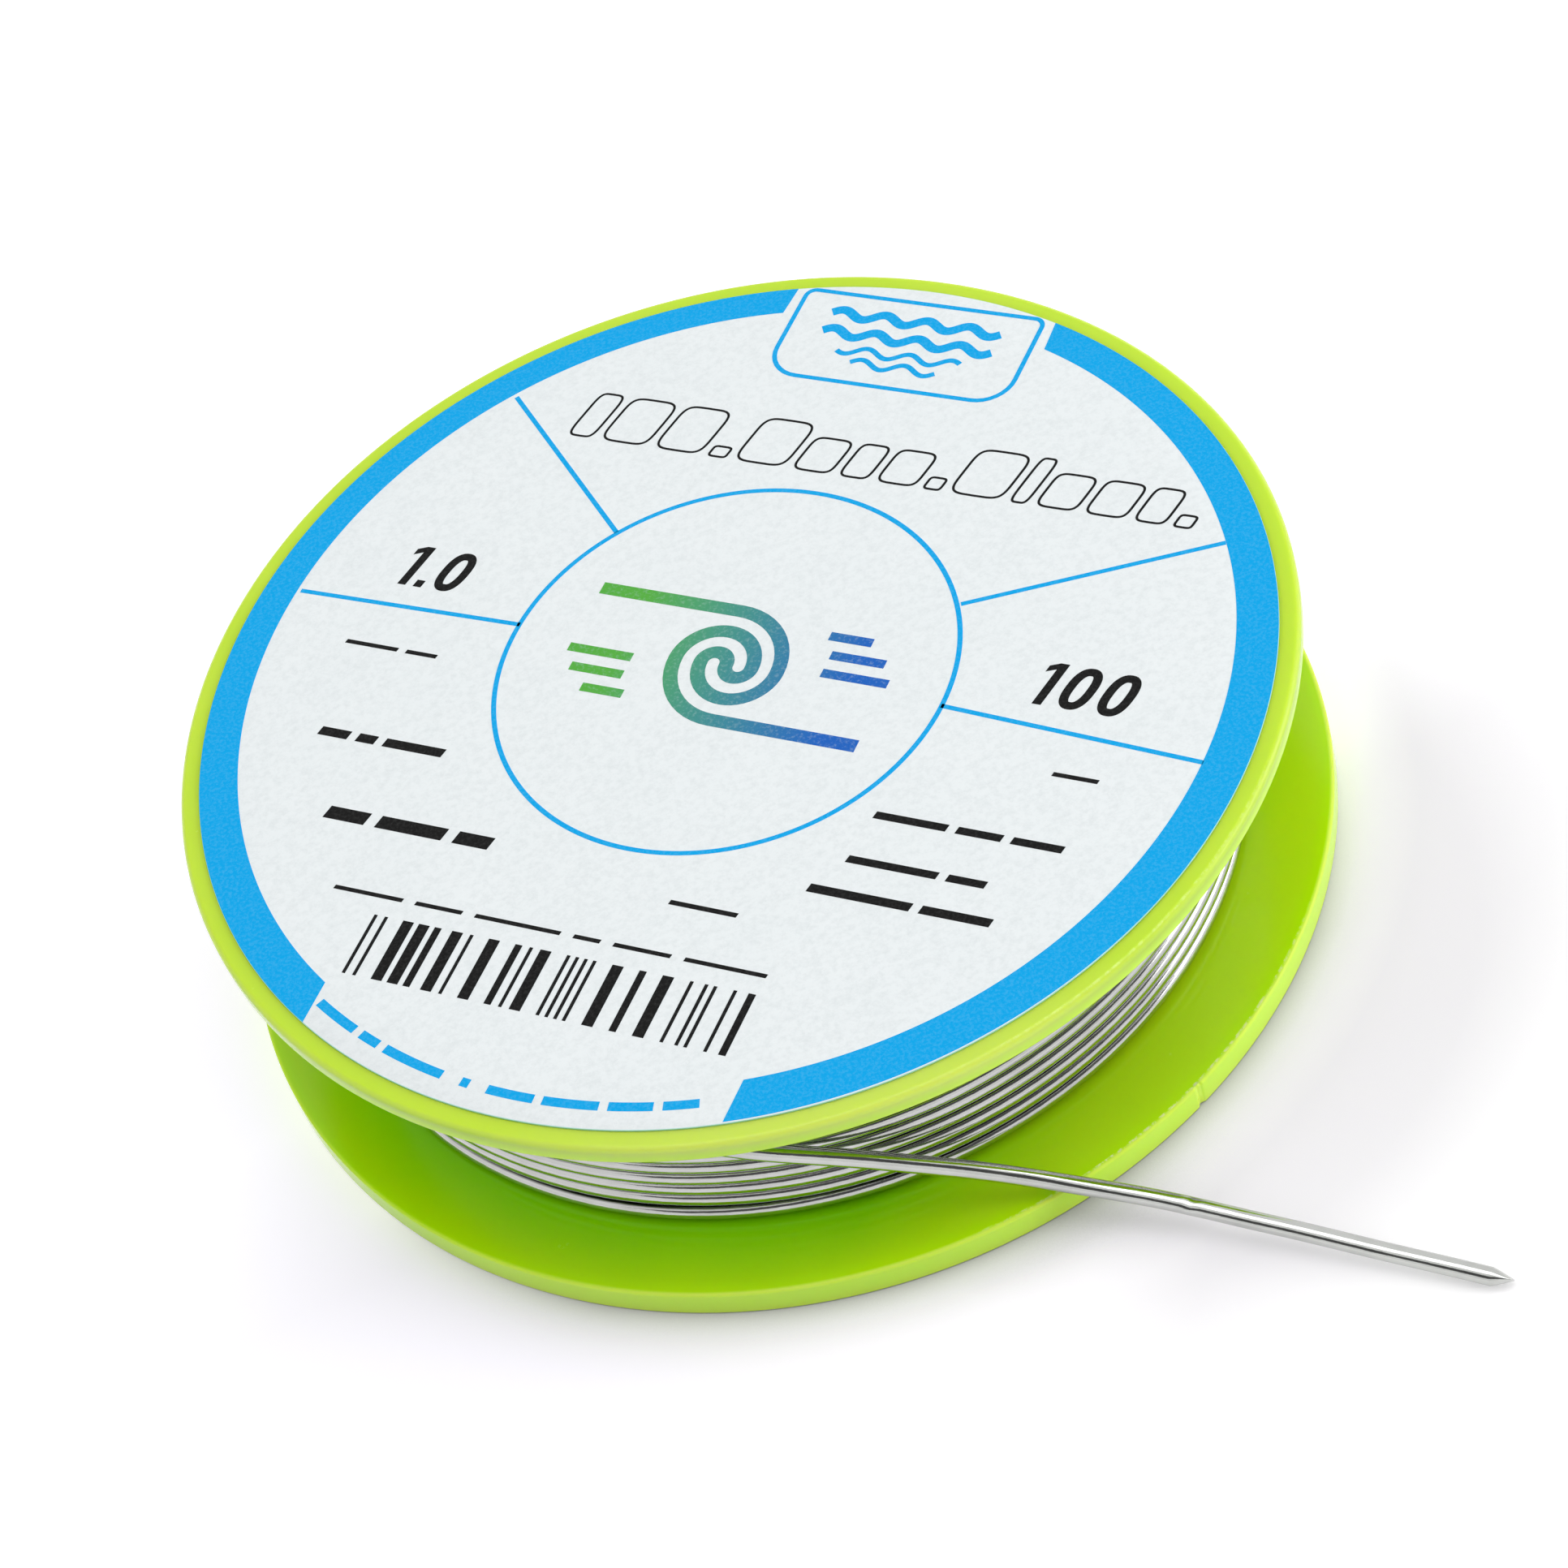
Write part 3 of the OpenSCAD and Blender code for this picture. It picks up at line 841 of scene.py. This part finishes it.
def add_inner_layers(material):
    """The layers underneath, ridged where their turns lie, and the wire's start down in its hole."""
    pitch = (CORE_HIGH - CORE_LOW - WIRE_D) / CORE_TURNS
    profile = [(CORE_INNER_R, CORE_HIGH), (CORE_INNER_R, CORE_LOW)]
    for turn in range(CORE_TURNS + 1):
        z = CORE_LOW + WIRE_R + turn * pitch
        for degrees in (-60, -30, 0, 30, 60):
            a = math.radians(degrees)
            profile.append((CORE_TURN_R + WIRE_R * math.cos(a), z + WIRE_R * math.sin(a)))
    n, rows = CORE_SEGMENTS, len(profile)
    vertices = [polar(360 * k / n, radius, z) for radius, z in profile for k in range(n)]
    faces = bands([(i, (i + 1) % rows) for i in range(rows)], n)
    base, m = len(vertices), START_SIDES
    for z, scale in ((START_LOW, 0.8), (START_LOW + START_BEVEL, 1.0), (CORE_LOW + WIRE_R, 1.0)):
        vertices += [START_PLACE + polar(360 * k / m, scale * WIRE_R, z) for k in range(m)]
    faces += bands([(0, 1), (1, 2)], m, base)
    faces.append(tuple(base + k for k in reversed(range(m))))
    faces.append(tuple(base + 2 * m + k for k in range(m)))
    piece = add_piece("inner_layers", vertices, faces, material)
    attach(piece, BODY)
    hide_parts("solder_inner_layers")


# ---------------- label

# The label's own right and up
LABEL_BEARING = -40.0
LABEL_RIGHT, LABEL_UP = ((math.cos(math.radians(turn)), math.sin(math.radians(turn)))
                         for turn in (LABEL_BEARING, LABEL_BEARING + 90))
# Heights of the paper and of the ink on it, which sinks in a little
PAPER_TOP = LABEL_TOP - 0.014
INK_LOW = PAPER_TOP - 0.002
INK_TOP = LABEL_TOP - 0.004
PAPER_EDGE_ROUND, PAPER_LIFT = 0.03, 0.001
LABEL_SEGMENTS = 256
SLANT = math.tan(math.radians(11))


def on_label(u, v, z):
    """A point of the print, from its own right and up, to the reel's axes."""
    return (u * LABEL_RIGHT[0] + v * LABEL_UP[0], u * LABEL_RIGHT[1] + v * LABEL_UP[1], z)


class Print:
    """Shapes of one ink, each a thin closed solid on the paper."""

    def __init__(self):
        self.vertices = []
        self.faces = []

    def strip(self, left, right, closed=False):
        """A band between two lines of as many points, (u, v) each."""
        base, n = len(self.vertices), len(left)
        for z in (INK_LOW, INK_TOP):
            self.vertices += [on_label(u, v, z) for u, v in (*left, *right)]
        a, b, c, d = base, base + n, base + 2 * n, base + 3 * n
        for i in range(n if closed else n - 1):
            j = (i + 1) % n
            self.faces += [
                (c + i, d + i, d + j, c + j),
                (a + j, b + j, b + i, a + i),
                (a + i, c + i, c + j, a + j),
                (b + j, d + j, d + i, b + i),
            ]
        if not closed:
            e = n - 1
            self.faces += [(a, b, d, c), (a + e, c + e, d + e, b + e)]

    def block(self, u, v, width, height):
        """A bar that stands on v and leans to the right."""
        lean = SLANT * height
        self.strip([(u + lean, v + height), (u + lean + width, v + height)], [(u, v), (u + width, v)])

    def stroke(self, points, width, closed=False):
        """A stroke with square ends along points, or a closed one round them."""
        last = len(points) - 1
        left, right = [], []
        for i, (u, v) in enumerate(points):
            after = points[(i + 1) % len(points) if closed else min(i + 1, last)]
            before = points[i - 1 if closed else max(i - 1, 0)]
            du, dv = after[0] - before[0], after[1] - before[1]
            size = math.hypot(du, dv)
            nu, nv = -dv / size * width / 2, du / size * width / 2
            left.append((u + nu, v + nv))
            right.append((u - nu, v - nv))
        self.strip(left, right, closed)

    def finish(self, name, material):
        piece = add_piece(name, self.vertices, self.faces, material, smooth=False)
        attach(piece, BODY)


def oval(u, v, half_width, half_height, slant=0.0, count=48, power=2.0):
    """Points of a superellipse that leans by slant."""
    points = []
    for i in range(count):
        a = 2 * math.pi * i / count
        x = math.copysign(abs(math.cos(a)) ** (2 / power), math.cos(a)) * half_width
        y = math.copysign(abs(math.sin(a)) ** (2 / power), math.sin(a)) * half_height
        points.append((u + x + slant * y, v + y))
    return points


def add_label_paper(material):
    """The paper disc: flat, with its cut edge rounded a little."""
    low = REEL_TOP + PAPER_LIFT
    rings = [(LABEL_R, low), (LABEL_R, PAPER_TOP - PAPER_EDGE_ROUND),
             (LABEL_R - 0.3 * PAPER_EDGE_ROUND, PAPER_TOP - 0.3 * PAPER_EDGE_ROUND),
             (LABEL_R - PAPER_EDGE_ROUND, PAPER_TOP)]
    rings += [(LABEL_R * f, PAPER_TOP) for f in (0.9, 0.7, 0.45, 0.2)]
    n, last = LABEL_SEGMENTS, len(rings) - 1
    vertices = [polar(360 * k / n, radius, z) for radius, z in rings for k in range(n)]
    faces = bands([(i, i + 1) for i in range(last)], n)
    faces.append(tuple(last * n + k for k in range(n)))
    faces.append(tuple(reversed(range(n))))
    piece = add_piece("label_paper", vertices, faces, material)
    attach(piece, BODY)
    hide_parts("label")


# Places on the label, in millimetres of its own right and up
PRINT_CENTRE = (0.07 * LABEL_RIGHT[0] + 0.29 * LABEL_RIGHT[1], 0.07 * LABEL_UP[0] + 0.29 * LABEL_UP[1])
RING_INNER_R = 28.1
RING_OUTER_R = 30.54
RING_EDGE_GAP = 0.02
# The ring is open at the label's head and foot, between these places
TOP_GAP = (-8.4, 8.4)
LOW_GAP = (-13.0, 12.1)
FINE_LINE = 0.29
CIRCLE_CENTRE = (-0.45, 0.64)
CIRCLE_R = 13.18
DIVIDERS = [
    ((-11.0, 8.7), (-21.9, 17.6)),
    ((-13.6, 1.0), (-28.0, 0.7)),
    ((11.0, 7.6), (23.9, 14.8)),
    ((12.7, 0.5), (28.0, -0.2)),
]
# The tab at the head: half its width, its height from and to, and the radii of its upper and lower corners
TAB_HALF, TAB_LOW, TAB_TOP = 7.6, 22.4, 29.3
TAB_TOP_CORNER, TAB_LOW_CORNER = 0.6, 2.0
# Waves in the tab: height, half their width and their stroke
WAVES = [(27.7, 5.4, 0.62), (26.2, 5.4, 0.62), (24.9, 3.9, 0.34), (24.0, 2.7, 0.34)]
WAVE_HEIGHT, WAVE_LENGTH = 0.30, 2.7
# Dashes along the lower rim, by bearing
RIM_DASHES = [(-116, -110), (-109, -106.4), (-105.4, -97.6), (-95.2, -94.2), (-92, -86.6), (-85.6, -79.4),
              (-78.4, -73.6), (-72.6, -68.8)]
RIM_DASH_R, RIM_DASH_WIDTH = 28.9, 0.55


def ring_sector(ink, start_u, end_u, start_side, end_side, steps=120):
    """Part of the border ring between two upright cuts; a side is 1 above the centre and -1 below."""
    cu, cv = PRINT_CENTRE
    lines = []
    for radius in (RING_INNER_R, RING_OUTER_R):
        a = start_side * math.acos((start_u - cu) / radius)
        b = end_side * math.acos((end_u - cu) / radius)
        if b < a:
            b += 2 * math.pi
        points = []
        for i in range(steps + 1):
            t = a + (b - a) * i / steps
            u, v = cu + radius * math.cos(t), cv + radius * math.sin(t)
            scale = min(1.0, (LABEL_R - RING_EDGE_GAP) / math.hypot(u, v))
            points.append((u * scale, v * scale))
        lines.append(points)
    ink.strip(*lines)


def tab_outline(steps=8):
    """A plain tab with round corners at the head of the label."""
    high, low = TAB_TOP - TAB_TOP_CORNER, TAB_LOW + TAB_LOW_CORNER
    points = []
    for side, centre, radius, start in ((1, high, TAB_TOP_CORNER, 0), (-1, high, TAB_TOP_CORNER, 90),
                                        (-1, low, TAB_LOW_CORNER, 180), (1, low, TAB_LOW_CORNER, 270)):
        for i in range(steps + 1):
            a = math.radians(start + 90 * i / steps)
            points.append((side * (TAB_HALF - radius) + radius * math.cos(a), centre + radius * math.sin(a)))
    return points


def add_blue_print(material):
    ink = Print()
    ring_sector(ink, LOW_GAP[1], TOP_GAP[1], -1, 1)
    ring_sector(ink, TOP_GAP[0], LOW_GAP[0], 1, -1)
    ink.stroke(oval(*CIRCLE_CENTRE, CIRCLE_R, CIRCLE_R, count=160), FINE_LINE, closed=True)
    for divider in DIVIDERS:
        ink.stroke(divider, FINE_LINE)
    ink.stroke(tab_outline(), FINE_LINE, closed=True)
    for v, half, width in WAVES:
        ink.stroke([(u, v + WAVE_HEIGHT * math.sin(2 * math.pi * u / WAVE_LENGTH))
                    for u in (half * (i / 60 - 1) for i in range(121))], width)
    for start, end in RIM_DASHES:
        turn = [math.radians(start + (end - start) * i / 8) for i in range(9)]
        ink.stroke([(RIM_DASH_R * math.cos(a), RIM_DASH_R * math.sin(a)) for a in turn], RIM_DASH_WIDTH)
    ink.finish("label_blue_print", material)


NUMBER_HEIGHT, NUMBER_STROKE = 3.0, 0.52
GAUGE_PLACE, MASS_PLACE = (-22.9, 2.4), (17.0, 1.7)
# How far the decimal point stands back, and how far after it the next digit starts
POINT_BACK, POINT_AFTER = 0.1, 0.85
# Shares of a digit's height: half a zero's width and the space after it, and a one's foot, the drop of its
# flag and the space after it
ZERO_HALF, ZERO_AFTER = 0.29, 0.16
ONE_FOOT, ONE_DROP, ONE_AFTER = 0.17, 0.15, 0.20
# A one's flag stops this far short of its stem, so that no two corners coincide
FLAG_GAP = 0.002
# How square the zeros and the headline's pills are
ZERO_POWER, PILL_POWER = 2.5, 5.0
# Upright bars in the place of the code: from left to right and from foot to head, and their widths and gaps
CODE_FROM, CODE_TO, CODE_LOW, CODE_TOP = -12.4, 11.2, -23.9, -19.9
CODE_WIDTHS, CODE_GAPS = (0.20, 0.20, 0.20, 0.42, 0.66), (0.32, 0.45, 0.66, 0.95)
# Bars in the places of small print: right, up, height, the bars' widths and, if it isn't the usual, their gap
WORD_GAP = 0.55
WORD_BARS = [
    (-23.4, -2.4, 0.28, (3.4, 2.0)),
    (20.4, -2.8, 0.28, (2.6,)),
    (-21.8, -9.0, 0.60, (1.9, 1.2, 3.8)),
    (-18.6, -14.4, 0.85, (2.6, 4.2, 2.2), 0.7),
    (-15.6, -18.8, 0.26, (4.3, 2.9, 5.2, 1.6, 3.4, 4.8), 0.8),
    (3.4, -15.5, 0.30, (4.0,)),
    (12.0, -7.6, 0.48, (4.2, 2.6, 2.9)),
    (11.7, -10.7, 0.48, (5.2, 2.2)),
    (10.4, -13.0, 0.55, (5.9, 4.0)),
]
# Headline: a row of outlined pills, half their width and their height
HEADLINE = [(0.8, 3.5), (1.5, 3.5), (1.5, 3.5), (0.55, 0.8), (1.6, 3.5), (1.2, 2.6), (0.9, 2.6), (1.2, 2.6),
            (0.5, 0.9), (1.6, 3.5), (0.5, 3.5), (1.2, 2.6), (1.2, 2.6), (0.9, 2.6), (0.5, 0.9)]
HEADLINE_START, HEADLINE_V, HEADLINE_GAP, HEADLINE_LINE = -17.4, 15.4, 0.55, 0.15


def add_black_print(material):
    ink = Print()
    tall, stroke = NUMBER_HEIGHT, NUMBER_STROKE

    def zero(u, v):
        half = tall * ZERO_HALF
        shape = oval(u + half + SLANT * tall / 2, v + tall / 2, half - stroke / 2, tall / 2 - stroke / 2, SLANT,
                     power=ZERO_POWER)
        ink.stroke(shape, stroke, closed=True)
        return u + 2 * half + ZERO_AFTER * tall

    def one(u, v):
        foot, reach = u + tall * ONE_FOOT, tall * ONE_FOOT
        ink.block(foot, v, stroke, tall)
        right, top, drop = foot + SLANT * tall - FLAG_GAP, v + tall, tall * ONE_DROP
        ink.strip([(right - reach - SLANT * drop * 0.6, top - drop * 0.6), (right, top)],
                  [(right - reach - SLANT * drop * 1.6, top - drop * 1.6), (right - SLANT * drop, top - drop)])
        return foot + stroke + ONE_AFTER * tall

    def words(u, v, height, widths, gap=WORD_GAP):
        for width in widths:
            ink.block(u, v, width, height)
            u += width + gap

    u, v = GAUGE_PLACE
    u = one(u, v)
    ink.block(u - POINT_BACK, v, stroke, stroke)
    zero(u + POINT_AFTER, v)
    u, v = MASS_PLACE
    zero(zero(one(u, v), v), v)
    for line in WORD_BARS:
        words(*line)

    rng = random.Random(3)
    u = CODE_FROM
    while u < CODE_TO:
        width = rng.choice(CODE_WIDTHS)
        ink.strip([(u, CODE_TOP), (u + width, CODE_TOP)], [(u, CODE_LOW), (u + width, CODE_LOW)])
        u += width + rng.choice(CODE_GAPS)

    u = HEADLINE_START
    for half, height in HEADLINE:
        u += half
        v = HEADLINE_V + height / 2
        shape = oval(u + SLANT * height / 2, v, half, height / 2, SLANT, power=PILL_POWER)
        ink.stroke(shape, HEADLINE_LINE, closed=True)
        u += half + HEADLINE_GAP
    ink.finish("label_black_print", material)


COIL_CENTRE = (-0.4, 0.7)
COIL_SPACING = 1.55
COIL_STROKE = 0.85
COIL_TAIL = 9.6
# Short lines beside the coil: how far over its middle, and how far they reach from it
COIL_LINES = [(0.6, 5.6, 9.6), (1.9, 5.6, 8.9), (3.2, 5.0, 7.6)]
COIL_LINE_STROKE = 0.6


def add_motif(material):
    """A wire that comes in from the left, winds into a coil, winds out again and leaves to the right."""
    ink = Print()
    cu, cv = COIL_CENTRE
    arm = []
    for radius, side, start, end in ((0.5, 1, 180, 360), (1.5, -1, 0, 180), (2.5, 1, 180, 270)):
        steps = 24 if end - start == 180 else 12
        for i in range(steps):
            a = math.radians(start + (end - start) * i / steps)
            arm.append((COIL_SPACING * (0.5 * side + radius * math.cos(a)),
                        COIL_SPACING * radius * math.sin(a)))
    arm += [(0.5 * COIL_SPACING, -2.5 * COIL_SPACING), (COIL_TAIL, -2.5 * COIL_SPACING)]
    path = [(-u, -v) for u, v in reversed(arm[1:])] + arm
    ink.stroke([(cu + u, cv + v) for u, v in path], COIL_STROKE)
    for v, near, far in COIL_LINES:
        ink.stroke([(cu + near, cv + v), (cu + far, cv + v)], COIL_LINE_STROKE)
        ink.stroke([(cu - far, cv - v), (cu - near, cv - v)], COIL_LINE_STROKE)
    ink.finish("label_motif", material)


# ---------------- scene

# Tones of the solder, bright and tarnished, then its least and most roughness
FREE_SOLDER = ((0.56, 0.57, 0.55), (0.50, 0.51, 0.49), 0.07, 0.14)
WOUND_SOLDER = ((0.57, 0.57, 0.56), (0.51, 0.51, 0.49), 0.10, 0.18)
# Inks, and the specks of paper in them
BLUE_INK = ((0.004, 0.385, 0.82), (0.11, 0.50, 0.86))
BLACK_INK = ((0.008, 0.008, 0.008), (0.05, 0.05, 0.05))
# Softboxes round the object, in metres: place and radiance, and whether reflections see them
BOX_WIDTH, BOX_HEIGHT = 0.46, 0.34
SIDE_BOXES = [
    ("left", (-0.55, 0.10, 0.36), 2.4, False),
    ("right", (0.575, -0.10, 0.26), 2.6, True),
    ("front_right", (0.48, -0.34, 0.20), 2.2, False),
]

add_camera()
add_free_end(solder_material("solder_free", *FREE_SOLDER, wound=False))

add_world()
add_floor()
add_dark_card()
add_softbox("overhead", (0.12, 0.0, 0.60), (0.12, 0.0, 0), 0.66, 0.26, 2.0)
for name, place, radiance, reflected in SIDE_BOXES:
    softbox = add_softbox(name, place, (0, 0, 0), BOX_WIDTH, BOX_HEIGHT, radiance)
    softbox.visible_glossy = reflected

wound_solder = solder_material("solder_wound", *WOUND_SOLDER, wound=True)
add_winding(wound_solder)
add_inner_layers(wound_solder)
add_reel(plastic_material())
add_label_paper(paper_material())
add_blue_print(ink_material("label_blue_ink", *BLUE_INK))
add_black_print(ink_material("label_black_ink", *BLACK_INK))
add_motif(motif_material())

scene = bpy.context.scene
scene.view_settings.view_transform = "Standard"
